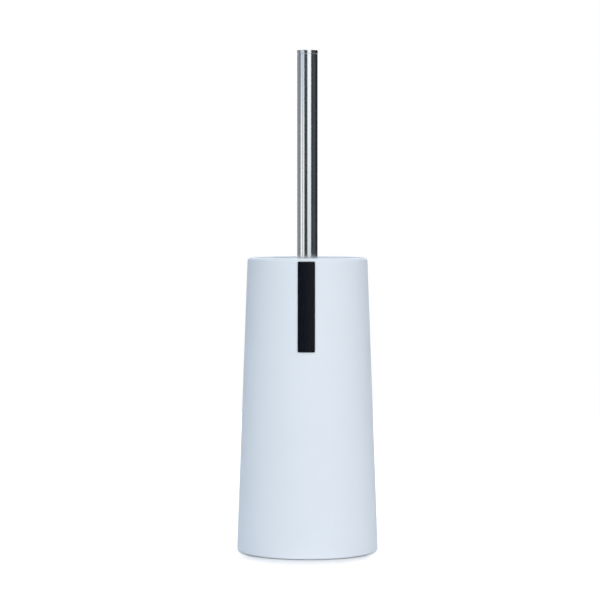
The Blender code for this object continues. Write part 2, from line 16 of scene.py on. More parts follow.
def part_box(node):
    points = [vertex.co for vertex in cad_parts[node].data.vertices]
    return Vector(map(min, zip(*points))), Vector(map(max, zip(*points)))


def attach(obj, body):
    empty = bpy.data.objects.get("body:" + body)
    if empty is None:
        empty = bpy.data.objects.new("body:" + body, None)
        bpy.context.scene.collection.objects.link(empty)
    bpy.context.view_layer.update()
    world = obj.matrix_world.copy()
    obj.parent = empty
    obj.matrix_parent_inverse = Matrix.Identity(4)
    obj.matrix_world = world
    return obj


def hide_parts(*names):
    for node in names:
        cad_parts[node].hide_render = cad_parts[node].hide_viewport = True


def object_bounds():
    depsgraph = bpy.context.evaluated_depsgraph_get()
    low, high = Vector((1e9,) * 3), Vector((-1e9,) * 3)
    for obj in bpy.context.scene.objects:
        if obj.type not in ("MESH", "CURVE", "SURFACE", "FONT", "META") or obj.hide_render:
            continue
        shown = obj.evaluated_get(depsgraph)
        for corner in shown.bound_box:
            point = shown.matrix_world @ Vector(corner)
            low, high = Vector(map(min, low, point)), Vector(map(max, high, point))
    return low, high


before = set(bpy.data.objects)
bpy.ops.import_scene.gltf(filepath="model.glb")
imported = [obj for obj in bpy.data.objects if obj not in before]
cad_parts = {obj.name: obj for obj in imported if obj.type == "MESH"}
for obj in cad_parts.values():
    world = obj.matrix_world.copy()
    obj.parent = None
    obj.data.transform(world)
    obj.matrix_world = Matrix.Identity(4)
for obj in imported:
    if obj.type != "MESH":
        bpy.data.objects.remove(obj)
cad_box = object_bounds()

# ---- Sizes inside the frame's boxes ----

SHELL_WALL = 0.0026
RIM_WALL = 0.0040
RIM_ROUND = 0.0030
RIM_INNER_ROUND = 0.0006
FOOT_ROUND = 0.0013
LEDGE_WIDTH = 0.0033
LEDGE_DEPTH = 0.0030
LEDGE_HAUNCH = 0.0045

LABEL_CORNER = 0.0008
LABEL_POCKET_DEPTH = 0.0006
LABEL_LOW_FACE = -0.0003
LABEL_HIGH_FACE = 0.0004
LABEL_EDGE_ROUND = 0.00015

BASE_THICKNESS = 0.0020
BASE_WALL = 0.0018
CUP_RING_HEIGHT = 0.0070
CUP_RING_WALL = 0.0016
CUP_RING_GAP = 0.0004
BASE_RIBS = 8
FIRST_BASE_RIB = math.radians(22.5)
BASE_RIB_WIDTH = 0.0016
BASE_RIB_HEIGHT = 0.0050
SNAPS = 4
FIRST_SNAP = math.radians(45)
SNAP_WIDTH = 0.0100
SNAP_LUG_HEIGHT = 0.0026
SNAP_LUG_REACH = 0.0015
SNAP_RISE = 0.0048
SNAP_SLOT = 0.0012
PADS = 4
PAD_POCKET_DEPTH = 0.0010
PAD_ROUND = 0.0005

CUP_WALL = 0.0015
CUP_FLOOR = 0.0018
CUP_DRAFT = 0.0010
CUP_CORNER = 0.0060
CUP_FOOT_HEIGHT = 0.0010
CUP_FOOT_WIDTH = 0.0020
CUP_NOTCH_RADIUS = 0.0090

LID_THICKNESS = 0.0025
LID_ROUND = 0.0007
LID_SKIRT_DEPTH = 0.0060
LID_SKIRT_WALL = 0.0016
LID_RIBS = 6
LID_RIB_WIDTH = 0.0016
LID_RIB_ROOT = 0.0013
LID_SKIRT_GAP = 0.0004
HUB_RADIUS = 0.0091

TUBE_WALL = 0.0008
TUBE_EDGE = 0.00015
CAP_ROUND = 0.0004
CAP_SPIGOT_WALL = 0.0014

JOURNAL_RADIUS = 0.0052
COLLAR_THICKNESS = 0.0030
STEM_RADIUS = 0.0058
STEM_FOOT_RADIUS = 0.0068
STUD_RADIUS = 0.0040

CORE_RADIUS = 0.0130
CORE_NECK_RADIUS = 0.0088
CORE_NECK_HEIGHT = 0.0100
CORE_SHOULDER = 0.0060
HOLE_RADIUS = 0.0020
HOLE_DEPTH = 0.0045

SEAT_GAP = 0.0003
CLEAR_CUT = 0.0020

BRISTLES_PER_TUFT = 110
BRISTLE_RADIUS = 0.00015
BRISTLE_TAPER = 0.15  # share of its radius that a bristle loses by its tip
BRISTLE_CURL = 0.6  # how early a bristle bends outwards
BRISTLE_SWAY = 0.00025
BRISTLE_SHIFT = 0.12  # most that a bristle is turned off its place in the pattern, in radians
FAN = 0.96  # how far the tips reach out, as a share of the CAD tuft's reach
FAN_SPREAD = (-0.05, 0.02)
TRIM = 0.0001  # how far the longest tips end below the CAD tuft's dome
TRIM_SPREAD = 0.00025

# ---- Smoothness ----

SHELL_SEGMENTS = 256
INNER_SEGMENTS = 192
HANDLE_SEGMENTS = 128
ROD_SEGMENTS = 96
PAD_SEGMENTS = 64
HOLE_SEGMENTS = 16
FLOOR_SEGMENTS = 256
FILLET_STEPS = 10
DOME_STEPS = 40
BRISTLE_SIDES = 5
BRISTLE_STEPS = 6
SUPPORT = 0.00025
EDGE_ROUND = 0.0003
MERGE = 1e-7

# ---- Levels and radii read from the frame ----


def low(node):
    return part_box(node)[0].z


def high(node):
    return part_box(node)[1].z


def corners_of(node):
    """A CAD node's distinct corners."""
    points = np.array([corner.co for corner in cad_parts[node].data.vertices])
    return np.unique(points.round(6), axis=0)


def widest(node, bottom=-math.inf, top=math.inf):
    """The (radius, height) of a turned CAD node's widest corner between two heights."""
    points = corners_of(node)
    points = points[(points[:, 2] >= bottom) & (points[:, 2] <= top)]
    radii = np.hypot(points[:, 0], points[:, 1])
    return radii.max(), points[radii.argmax(), 2]


RIM_Z = high("holder_shell")
SHELL_FOOT_Z = low("holder_shell")
LID_TOP_Z = high("lid")
LID_UNDER_Z = LID_TOP_Z - LID_THICKNESS
HUB_FOOT_Z = low("lid")
LEDGE_TOP_Z = LID_UNDER_Z - SEAT_GAP

CONE_LOW_RADIUS, CONE_LOW_Z = widest("holder_shell")
CONE_TOP_RADIUS, CONE_TOP_Z = widest("holder_shell", bottom=RIM_Z - 2 * RIM_ROUND)
TAPER = (CONE_LOW_RADIUS - CONE_TOP_RADIUS) / (CONE_TOP_Z - CONE_LOW_Z)


def outer_radius(z):
    """Radius of the shell's outside at a height above the floor."""
    return CONE_LOW_RADIUS - TAPER * (z - CONE_LOW_Z)


def inner_radius(z):
    return outer_radius(z) - SHELL_WALL


OPENING_RADIUS = outer_radius(RIM_Z) - RIM_WALL
LEDGE_RADIUS = OPENING_RADIUS - LEDGE_WIDTH

# ---- Modelling helpers ----


def evenly(count, start=0.0):
    return [start + math.tau * index / count for index in range(count)]


def filleted(corners, closed):
    """The outline through (radius, height, fillet) corners.

    Each fillet is an arc between two support points.
    """
    points = []
    count = len(corners)
    for index, (radius, height, fillet) in enumerate(corners):
        corner = Vector((radius, height))
        is_end = not closed and index in (0, count - 1)
        if fillet == 0 or is_end:
            points.append(corner)
            continue
        before = (Vector(corners[index - 1][:2]) - corner).normalized()
        after = (Vector(corners[(index + 1) % count][:2]) - corner).normalized()
        half = before.angle(after) / 2
        centre = corner + (before + after).normalized() * (fillet / math.sin(half))
        tangent = fillet / math.tan(half)
        first = corner + before * tangent - centre
        last = corner + after * tangent - centre
        swing = -first.angle_signed(last)
        points.append(centre + first + before * min(SUPPORT, fillet))
        for step in range(FILLET_STEPS + 1):
            points.append(centre + Matrix.Rotation(swing * step / FILLET_STEPS, 2) @ first)
        points.append(centre + last + after * min(SUPPORT, fillet))
    return points


def turned(corners, segments):
    """A solid of revolution about Z. An outline that starts and ends on the axis is closed by the turn."""
    closed = corners[0][0] > 0 or corners[-1][0] > 0
    outline = filleted(corners, closed)
    shape = bmesh.new()
    columns = []
    for turn in evenly(segments):
        cos, sin = math.cos(turn), math.sin(turn)
        columns.append([shape.verts.new((point.x * cos, point.x * sin, point.y)) for point in outline])
    count = len(outline)
    for left, right in zip(columns, columns[1:] + columns[:1]):
        for index in range(count if closed else count - 1):
            after = (index + 1) % count
            shape.faces.new((left[index], right[index], right[after], left[after]))
    bmesh.ops.remove_doubles(shape, verts=shape.verts, dist=MERGE)
    bmesh.ops.dissolve_degenerate(shape, edges=shape.edges, dist=MERGE)
    bmesh.ops.recalc_face_normals(shape, faces=shape.faces)
    return shape


def add_prism(shape, outline, width, turn):
    """Adds a prism: an outline of (radius, height) points, extruded across, then turned about Z."""
    corners = [shape.verts.new((radius, -width / 2, height)) for radius, height in outline]
    face = shape.faces.new(corners)
    pushed = bmesh.ops.extrude_face_region(shape, geom=[face])["geom"]
    moved = [item for item in pushed if isinstance(item, bmesh.types.BMVert)]
    bmesh.ops.translate(shape, verts=moved, vec=(0, width, 0))
    bmesh.ops.rotate(shape, verts=corners + moved, matrix=Matrix.Rotation(turn, 3, "Z"))
    bmesh.ops.recalc_face_normals(shape, faces=shape.faces)


def add_cylinder(shape, radius, length, matrix, segments):
    """Adds a cylinder centred on the matrix's origin, along its Z."""
    bmesh.ops.create_cone(
        shape,
        cap_ends=True,
        segments=segments,
        radius1=radius,
        radius2=radius,
        depth=length,
        matrix=matrix,
    )


def add_object(name, data):
    made = bpy.data.objects.new(name, data)
    bpy.context.scene.collection.objects.link(made)
    return made


def mesh_object(name, shape):
    mesh = bpy.data.meshes.new(name)
    shape.to_mesh(mesh)
    shape.free()
    return add_object(name, mesh)


def apply_modifiers(piece):
    graph = bpy.context.evaluated_depsgraph_get()
    mesh = bpy.data.meshes.new_from_object(piece.evaluated_get(graph))
    piece.modifiers.clear()
    piece.data = mesh


def combine(piece, tool, operation):
    """Cuts a helper shape from the piece, or joins it on, and removes the helper."""
    helper = mesh_object("helper", tool)
    modifier = piece.modifiers.new("combine", "BOOLEAN")
    modifier.operation = operation
    modifier.object = helper
    apply_modifiers(piece)
    bpy.data.objects.remove(helper)


def round_edges(piece, width, steps, angle):
    """Rounds the piece's sharp edges, which catches the light as a moulded edge does."""
    modifier = piece.modifiers.new("rounds", "BEVEL")
    modifier.width = width
    modifier.segments = steps
    modifier.limit_method = "ANGLE"
    modifier.angle_limit = math.radians(angle)
    modifier.use_clamp_overlap = True
    apply_modifiers(piece)


def shade(piece, look, sharp=30.0):
    piece.data.shade_smooth()
    piece.data.set_sharp_from_angle(angle=math.radians(sharp))
    piece.data.materials.clear()
    piece.data.materials.append(look)


def place(piece, body, node):
    """Carries the piece on a body, in place of a CAD node."""
    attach(piece, body)
    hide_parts(node)


# ---- Materials ----


def new_look(name, **inputs):
    """A Principled material. Values that are the same all over are set here, on the shader's own sockets."""
    look = bpy.data.materials.new(name)
    look.use_nodes = True
    shader = look.node_tree.nodes["Principled BSDF"]
    for socket, value in inputs.items():
        shader.inputs[socket.replace("_", " ")].default_value = value
    return look, look.node_tree, shader


def stretched(tree, stretch=(1, 1, 1)):
    """Object coordinates, scaled along each axis."""
    place_on = tree.nodes.new("ShaderNodeTexCoord")
    mapping = tree.nodes.new("ShaderNodeMapping")
    mapping.inputs["Scale"].default_value = stretch
    tree.links.new(place_on.outputs["Object"], mapping.inputs["Vector"])
    return mapping.outputs["Vector"]


def noise(tree, scale, detail=2.0, stretch=(1, 1, 1), distortion=0.0):
    node = tree.nodes.new("ShaderNodeTexNoise")
    node.inputs["Scale"].default_value = scale
    node.inputs["Detail"].default_value = detail
    node.inputs["Distortion"].default_value = distortion
    tree.links.new(stretched(tree, stretch), node.inputs["Vector"])
    return node.outputs["Fac"]


def remap(tree, value, low_out, high_out, low_in=0.3, high_in=0.7):
    """Maps one range to another, within its ends. Noise lies mostly between 0.3 and 0.7."""
    node = tree.nodes.new("ShaderNodeMapRange")
    node.inputs["From Min"].default_value = low_in
    node.inputs["From Max"].default_value = high_in
    node.inputs["To Min"].default_value = low_out
    node.inputs["To Max"].default_value = high_out
    tree.links.new(value, node.inputs["Value"])
    return node.outputs["Result"]


def calculated(tree, operation, *values):
    """The output of a math node on values that are numbers or sockets."""
    node = tree.nodes.new("ShaderNodeMath")
    node.operation = operation
    for socket, value in zip(node.inputs, values):
        if isinstance(value, float):
            socket.default_value = value
        else:
            tree.links.new(value, socket)
    return node.outputs["Value"]


def blended(tree, value, first, second):
    """A colour between two, by the value."""
    node = tree.nodes.new("ShaderNodeMix")
    node.data_type = "RGBA"
    node.inputs["A"].default_value = (*first, 1)
    node.inputs["B"].default_value = (*second, 1)
    tree.links.new(remap(tree, value, 0, 1), node.inputs["Factor"])
    return node.outputs["Result"]


def bumped(tree, layers):
    """A chain of bumps, each from (value, depth in metres, strength)."""
    normal = None
    for value, depth, strength in layers:
        node = tree.nodes.new("ShaderNodeBump")
        node.inputs["Distance"].default_value = depth
        node.inputs["Strength"].default_value = strength
        tree.links.new(value, node.inputs["Height"])
        if normal:
            tree.links.new(normal, node.inputs["Normal"])
        normal = node.outputs["Normal"]
    return normal


def wire(tree, shader, tone, roughness, layers=()):
    """Links a material's colour, its roughness and its bumps, if it has any, to its shader."""
    tree.links.new(tone, shader.inputs["Base Color"])
    tree.links.new(roughness, shader.inputs["Roughness"])
    if layers:
        tree.links.new(bumped(tree, layers), shader.inputs["Normal"])


def soft_touch(name):
    """Matt lacquer over moulded plastic: a fine even grain under a very slow drift of tone."""
    look, tree, shader = new_look(name, IOR=1.45, Specular_IOR_Level=0.35)
    drift = noise(tree, 14, 3)
    grain = noise(tree, 2600, 2)
    ripple = noise(tree, 240, 2)
    tone = blended(tree, drift, (0.750, 0.812, 0.884), (0.764, 0.826, 0.898))
    roughness = remap(tree, ripple, 0.50, 0.58)
    wire(tree, shader, tone, roughness, [(ripple, 0.00003, 0.25), (grain, 0.00002, 0.35)])
    return look


def satin_black(name):
    """Black strip: satin film with faint fine streaks down its length."""
    look, tree, shader = new_look(name, IOR=1.5, Specular_IOR_Level=0.09)
    streaks = noise(tree, 60, 3, (40, 40, 1))
    speckle = noise(tree, 3000, 1)
    tone = blended(tree, streaks, (0.0040, 0.0048, 0.0090), (0.0054, 0.0064, 0.0110))
    roughness = remap(tree, streaks, 0.24, 0.32)
    wire(tree, shader, tone, roughness, [(speckle, 0.00001, 0.2)])
    return look


def polished_steel(name):
    """Stainless steel, polished round its girth: very fine rings and a slight drift of polish."""
    look, tree, shader = new_look(name, Metallic=1.0)
    rings = noise(tree, 30, 4, (3, 3, 220))
    wear = noise(tree, 40, 3)
    tone = blended(tree, rings, (0.640, 0.640, 0.632), (0.672, 0.672, 0.664))
    roughness = calculated(tree, "ADD", remap(tree, rings, 0.11, 0.14), remap(tree, wear, 0.0, 0.03))
    wire(tree, shader, tone, roughness, [(rings, 0.000004, 0.06)])
    return look


def moulded(name, light, dark, smoothest):
    """Plain moulded plastic: fine tool texture, flow marks and a slow drift of tone."""
    look, tree, shader = new_look(name, IOR=1.49)
    drift = noise(tree, 22, 3, (1, 1, 0.5), 0.4)
    grain = noise(tree, 1400, 2)
    tone = blended(tree, drift, dark, light)
    roughness = remap(tree, grain, smoothest, smoothest + 0.10)
    wire(tree, shader, tone, roughness, [(drift, 0.0001, 0.1), (grain, 0.00002, 0.3)])
    return look


def nylon(name):
    """Bristle filament: milky, faintly uneven in tone along its length."""
    look, tree, shader = new_look(name, IOR=1.53, Subsurface_Weight=0.15, Subsurface_Scale=0.002)
    drift = noise(tree, 160, 2)
    streak = noise(tree, 900, 2)
    tone = blended(tree, drift, (0.830, 0.850, 0.870), (0.910, 0.925, 0.940))
    wire(tree, shader, tone, remap(tree, streak, 0.34, 0.46))
    return look


def rubber(name):
    """Soft foot pad: dark, dull and finely pitted."""
    look, tree, shader = new_look(name, IOR=1.5, Specular_IOR_Level=0.3)
    pits = noise(tree, 1800, 3)
    tone = blended(tree, pits, (0.030, 0.031, 0.033), (0.055, 0.056, 0.058))
    wire(tree, shader, tone, remap(tree, pits, 0.72, 0.86), [(pits, 0.00006, 0.5)])
    return look


# ---- Holder ----


def strip_on_cone(low_offset, high_offset, grow, columns=28, rows=48):
    """A round-cornered strip on the front of the cone, as wide and tall as the label, grown by a margin."""
    lowest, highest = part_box("label_strip")
    half = (highest.x - lowest.x) / 2 + grow
    foot = lowest.z - grow
    top = highest.z + grow
    corner = LABEL_CORNER + grow
    bends = [math.radians(90 * step / FILLET_STEPS) for step in range(FILLET_STEPS + 1)]
    arc = [(half - corner * (1 - math.cos(bend)), corner * (1 - math.sin(bend))) for bend in bends]
    flat = [(x, 0) for x in np.linspace(arc[-1][0], -arc[-1][0], columns)[1:-1]]
    across = arc + flat + [(-x, drop) for x, drop in reversed(arc)]
    shape = bmesh.new()
    grids = []
    for offset in (high_offset, low_offset):
        grid = []
        for x, drop in across:
            column = []
            for z in np.linspace(foot + drop, top - drop, rows):
                radius = outer_radius(z) + offset
                column.append(shape.verts.new((x, -math.sqrt(radius**2 - x**2), z)))
            grid.append(column)
        grids.append(grid)
    front, back = grids
    for grid in grids:
        for left, right in zip(grid, grid[1:]):
            for index in range(rows - 1):
                shape.faces.new((left[index], right[index], right[index + 1], left[index + 1]))
    for index in range(len(across) - 1):
        after = index + 1
        for row in (0, -1):
            shape.faces.new((front[index][row], front[after][row], back[after][row], back[index][row]))
    for side in (0, -1):
        for index in range(rows - 1):
            after = index + 1
            shape.faces.new((front[side][index], front[side][after], back[side][after], back[side][index]))
    bmesh.ops.recalc_face_normals(shape, faces=shape.faces)
    return shape


def snap_lugs():
    """Lugs on the shell's inside that hold the base up, each with a ramp under it."""
    lugs = bmesh.new()
    foot = SHELL_FOOT_Z + SNAP_RISE
    top = foot + SNAP_LUG_HEIGHT
    root = inner_radius(foot) + SHELL_WALL / 2
    reach = inner_radius(top) - SNAP_LUG_REACH
    lug = [(root, foot), (root, top), (reach, top), (reach, top - SNAP_LUG_HEIGHT / 3)]
    for turn in evenly(SNAPS, FIRST_SNAP):
        add_prism(lugs, lug, SNAP_WIDTH, turn)
    return lugs


def make_shell(look):
    """The cone with its round rim, the ledge that carries the lid, the snap lugs and the label's pocket."""
    ledge_under = LEDGE_TOP_Z - LEDGE_DEPTH
    haunch = ledge_under - LEDGE_HAUNCH
    corners = [
        (CONE_LOW_RADIUS, SHELL_FOOT_Z, FOOT_ROUND),
        (CONE_LOW_RADIUS, CONE_LOW_Z, 0),
        (outer_radius(RIM_Z), RIM_Z, RIM_ROUND),
        (OPENING_RADIUS, RIM_Z, RIM_INNER_ROUND),
        (OPENING_RADIUS, LEDGE_TOP_Z, 0),
        (LEDGE_RADIUS, LEDGE_TOP_Z, EDGE_ROUND),
        (LEDGE_RADIUS, ledge_under, EDGE_ROUND),
        (inner_radius(haunch), haunch, RIM_ROUND),
        (inner_radius(SHELL_FOOT_Z), SHELL_FOOT_Z, 0),
    ]
    shell = mesh_object("shell_skin", turned(corners, SHELL_SEGMENTS))
    combine(shell, snap_lugs(), "UNION")
    combine(shell, strip_on_cone(-LABEL_POCKET_DEPTH, CLEAR_CUT, SEAT_GAP), "DIFFERENCE")
    shade(shell, look)
    place(shell, "holder", "holder_shell")


def make_label(look):
    label = mesh_object("label_plate", strip_on_cone(LABEL_LOW_FACE, LABEL_HIGH_FACE, 0))
    round_edges(label, LABEL_EDGE_ROUND, steps=3, angle=60)
    shade(label, look)
    place(label, "holder", "label_strip")


def pad_node(index):
    return f"foot_pad_{index}"


def base_ribs(floor, ring_outside):
    """Upright ribs from the cup's ring out to the dish's wall."""
    ribs = bmesh.new()
    foot = floor - BASE_THICKNESS / 2
    top = floor + BASE_RIB_HEIGHT
    inside = ring_outside - CUP_RING_WALL / 2
    outside = inner_radius(top) - SEAT_GAP - BASE_WALL / 2
    rib = [(inside, foot), (outside, foot), (outside, top), (inside, top)]
    for turn in evenly(BASE_RIBS, FIRST_BASE_RIB):
        add_prism(ribs, rib, BASE_RIB_WIDTH, turn)
    return ribs


def base_cuts(foot_radius, top_radius):
    """The windows that take the lugs, the slots that free the tongues, and the pads' pockets."""
    cuts = bmesh.new()
    window_foot = SHELL_FOOT_Z + SNAP_RISE - SEAT_GAP
    window_top = window_foot + SNAP_LUG_HEIGHT + 2 * SEAT_GAP
    slot_top = high("base_plate") + CLEAR_CUT
    slot_turn = (SNAP_WIDTH / 2 + BASE_WALL + SNAP_SLOT) / foot_radius
    near = top_radius - BASE_WALL - CLEAR_CUT
    far = foot_radius + CLEAR_CUT
    window = [(near, window_foot), (far, window_foot), (far, window_top), (near, window_top)]
    slot = [(near, window_foot), (far, window_foot), (far, slot_top), (near, slot_top)]
    for turn in evenly(SNAPS, FIRST_SNAP):
        add_prism(cuts, window, SNAP_WIDTH + 2 * SEAT_GAP, turn)
        for side in (-slot_turn, slot_turn):
            add_prism(cuts, slot, SNAP_SLOT, turn + side)
    for index in range(1, PADS + 1):
        lowest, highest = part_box(pad_node(index))
        middle = (lowest + highest) / 2
        centre = Matrix.Translation((middle.x, middle.y, low("base_plate")))
        radius = (highest.x - lowest.x) / 2 + SEAT_GAP
        add_cylinder(cuts, radius, 2 * PAD_POCKET_DEPTH, centre, PAD_SEGMENTS)
    return cuts


def make_base(look):
    """A dish with a ring that centres the cup, ribs out to its wall, and four snap tongues."""
    under = low("base_plate")
    wall_top = high("base_plate")
    floor = under + BASE_THICKNESS
    ring_inside = widest("drip_cup")[0] + CUP_RING_GAP
    ring_outside = ring_inside + CUP_RING_WALL
    ring_top = floor + CUP_RING_HEIGHT
    foot_radius = inner_radius(under) - SEAT_GAP
    top_radius = inner_radius(wall_top) - SEAT_GAP
    corners = [
        (0, under, 0),
        (foot_radius, under, EDGE_ROUND),
        (top_radius, wall_top, EDGE_ROUND),
        (top_radius - BASE_WALL, wall_top, EDGE_ROUND),
        (foot_radius - BASE_WALL, floor, EDGE_ROUND),
        (ring_outside, floor, EDGE_ROUND),
        (ring_outside, ring_top, EDGE_ROUND),
        (ring_inside, ring_top, EDGE_ROUND),
        (ring_inside, floor, EDGE_ROUND),
        (0, floor, 0),
    ]
    base = mesh_object("base_dish", turned(corners, SHELL_SEGMENTS))
    combine(base, base_ribs(floor, ring_outside), "UNION")
    combine(base, base_cuts(foot_radius, top_radius), "DIFFERENCE")
    shade(base, look)
    place(base, "holder", "base_plate")


def make_pads(look):
    for index in range(1, PADS + 1):
        lowest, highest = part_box(pad_node(index))
        radius = (highest.x - lowest.x) / 2
        top = highest.z
        corners = [(0, 0, 0), (radius, 0, PAD_ROUND), (radius, top, EDGE_ROUND), (0, top, 0)]
        pad = mesh_object(f"pad_{index}", turned(corners, PAD_SEGMENTS))
        middle = (lowest + highest) / 2
        pad.data.transform(Matrix.Translation((middle.x, middle.y, 0)))
        shade(pad, look)
        place(pad, "holder", pad_node(index))


def make_cup(look):
    """A drafted cup on a foot ring, with two finger notches in its rim."""
    foot, top = low("drip_cup"), high("drip_cup")
    top_radius = widest("drip_cup")[0]
    foot_radius = top_radius - CUP_DRAFT
    under = foot + CUP_FOOT_HEIGHT
    floor = under + CUP_FLOOR
    ring = foot_radius - CUP_CORNER
    corners = [
        (0, under, 0),
        (ring - CUP_FOOT_WIDTH, under, 0),
        (ring - CUP_FOOT_WIDTH, foot, EDGE_ROUND),
        (ring, foot, EDGE_ROUND),
        (ring, under, 0),
        (foot_radius, under, CUP_CORNER - CUP_WALL),
        (top_radius, top, CUP_WALL / 3),
        (top_radius - CUP_WALL, top, CUP_WALL / 3),
        (foot_radius - CUP_WALL, floor, CUP_CORNER - 2 * CUP_WALL),
        (0, floor, 0),
    ]
    cup = mesh_object("cup_body", turned(corners, INNER_SEGMENTS))
    notch = bmesh.new()
    along_x = Matrix.Translation((0, 0, top)) @ Matrix.Rotation(math.radians(90), 4, "Y")
    add_cylinder(notch, CUP_NOTCH_RADIUS, 2 * top_radius + 2 * CLEAR_CUT, along_x, ROD_SEGMENTS)
    combine(cup, notch, "DIFFERENCE")
    shade(cup, look)
    place(cup, "holder", "drip_cup")


# ---- Lid ----


def lid_ribs(outside, skirt_foot):
    """Ribs under the disc, from the hub to the skirt. They stop a rib's width above the feet of both."""
    ribs = bmesh.new()
    inside = HUB_RADIUS - LID_RIB_ROOT
    embed = LID_UNDER_Z + LID_THICKNESS / 2
    rib = [
        (inside, embed),
        (outside, embed),
        (outside, skirt_foot + LID_RIB_WIDTH),
        (inside, HUB_FOOT_Z + LID_RIB_WIDTH),
    ]
    for turn in evenly(LID_RIBS):
        add_prism(ribs, rib, LID_RIB_WIDTH, turn)
    return ribs


def make_lid(look):
    """A disc with a centring skirt, a hub round the journal, and ribs between them."""
    radius = widest("lid")[0]
    skirt = LEDGE_RADIUS - LID_SKIRT_GAP
    skirt_foot = LID_UNDER_Z - LID_SKIRT_DEPTH
    skirt_inside = skirt - LID_SKIRT_WALL
    bore = JOURNAL_RADIUS + SEAT_GAP
    corners = [
        (bore, HUB_FOOT_Z, EDGE_ROUND),
        (HUB_RADIUS, HUB_FOOT_Z, EDGE_ROUND),
        (HUB_RADIUS, LID_UNDER_Z, EDGE_ROUND),
        (skirt_inside, LID_UNDER_Z, EDGE_ROUND),
        (skirt_inside, skirt_foot, EDGE_ROUND),
        (skirt, skirt_foot, EDGE_ROUND),
        (skirt, LID_UNDER_Z, 0),
        (radius, LID_UNDER_Z, EDGE_ROUND),
        (radius, LID_TOP_Z, LID_ROUND),
        (bore, LID_TOP_Z, EDGE_ROUND),
    ]
    lid = mesh_object("lid_disc", turned(corners, INNER_SEGMENTS))
    combine(lid, lid_ribs(skirt_inside + LID_SKIRT_WALL / 2, skirt_foot), "UNION")
    shade(lid, look)
    place(lid, "lid", "lid")


# ---- Handle and stem ----


def make_tube(look):
    foot, top = low("handle_tube"), high("handle_tube")
    radius = widest("handle_tube")[0]
    bore = radius - TUBE_WALL
    corners = [
        (bore, foot, TUBE_EDGE),
        (radius, foot, TUBE_EDGE),
        (radius, top, TUBE_EDGE),
        (bore, top, TUBE_EDGE),
    ]
    tube = mesh_object("tube_skin", turned(corners, HANDLE_SEGMENTS))
    shade(tube, look)
    place(tube, "brush", "handle_tube")


def make_cap(look):
    """A cap with a hollow spigot that goes down inside the tube."""
    foot, top = low("handle_top_cap"), high("handle_top_cap")
    seat = high("handle_tube") + SEAT_GAP
    rim = widest("handle_top_cap")[0]
    spigot = widest("handle_tube")[0] - TUBE_WALL - SEAT_GAP
    corners = [
        (0, top, 0),
        (rim, top, CAP_ROUND),
        (rim, seat, TUBE_EDGE),
        (spigot, seat, 0),
        (spigot, foot, CAP_SPIGOT_WALL / 3),
        (spigot - CAP_SPIGOT_WALL, foot, EDGE_ROUND),
        (spigot - CAP_SPIGOT_WALL, seat, 0),
        (0, seat, 0),
    ]
    cap = mesh_object("cap_skin", turned(corners, HANDLE_SEGMENTS))
    shade(cap, look)
    place(cap, "brush", "handle_top_cap")


def make_insert(look):
    """A plug with a blind bore for the stem's threaded stud."""
    foot, top = low("handle_insert"), high("handle_insert")
    radius = widest("handle_insert")[0]
    bore = STUD_RADIUS + SEAT_GAP
    bore_top = high("stem") + CLEAR_CUT
    corners = [
        (0, top, 0),
        (radius, top, (radius - bore) / 2),
        (radius, foot, EDGE_ROUND),
        (bore, foot, EDGE_ROUND),
        (bore, bore_top, 0),
        (0, bore_top, 0),
    ]
    insert = mesh_object("insert_plug", turned(corners, ROD_SEGMENTS))
    shade(insert, look)
    place(insert, "brush", "handle_insert")


def make_stem(look):
    """A rod with a stud at each end, and a journal above the collar that traps the lid."""
    stud_foot, stud_top = low("stem"), high("stem")
    journal_top = low("handle_insert") - SEAT_GAP
    collar_radius = widest("stem")[0]
    collar_top = HUB_FOOT_Z - SEAT_GAP
    collar_foot = collar_top - COLLAR_THICKNESS
    stem_foot = high("brush_core") + SEAT_GAP
    corners = [
        (0, stud_top, 0),
        (STUD_RADIUS, stud_top, STUD_RADIUS / 4),
        (STUD_RADIUS, journal_top, 0),
        (JOURNAL_RADIUS, journal_top, EDGE_ROUND),
        (JOURNAL_RADIUS, collar_top, EDGE_ROUND),
        (collar_radius, collar_top, EDGE_ROUND),
        (collar_radius, collar_foot, COLLAR_THICKNESS / 3),
        (STEM_RADIUS, collar_foot, EDGE_ROUND),
        (STEM_FOOT_RADIUS, stem_foot, EDGE_ROUND),
        (STUD_RADIUS, stem_foot, 0),
        (STUD_RADIUS, stud_foot, STUD_RADIUS / 4),
        (0, stud_foot, 0),
    ]
    stem = mesh_object("stem_rod", turned(corners, ROD_SEGMENTS))
    shade(stem, look)
    place(stem, "brush", "stem")


# ---- Brush head ----


def tuft_node(index):
    return f"bristle_tuft_{index:02d}"


TUFTS = len([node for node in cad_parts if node.startswith("bristle_tuft_")])
DOME_Z = low("brush_core") + CORE_RADIUS


def tuft_frame(node):
    """The tuft's matrix and its reach along each of the matrix's axes.

    The matrix has its origin at the root's end, Z along the tuft and X level.
    """
    points = corners_of(node)
    spine = np.column_stack([np.zeros((len(points), 2)), np.maximum(points[:, 2], DOME_Z)])
    distance = np.linalg.norm(points - spine, axis=1)
    root = Vector(points[distance < distance.min() + HOLE_DEPTH / 3].mean(0))
    aim = (Vector(points.mean(0)) - root).normalized()
    level = Vector((0, 0, 1)).cross(aim)
    across = level.normalized() if level.length > 1e-3 else Vector((1, 0, 0))
    along = aim.cross(across)
    matrix = Matrix.Translation(root) @ Matrix((across, along, aim)).transposed().to_4x4()
    local = np.array([matrix.inverted() @ Vector(point) for point in points])
    return matrix, local.max(0)


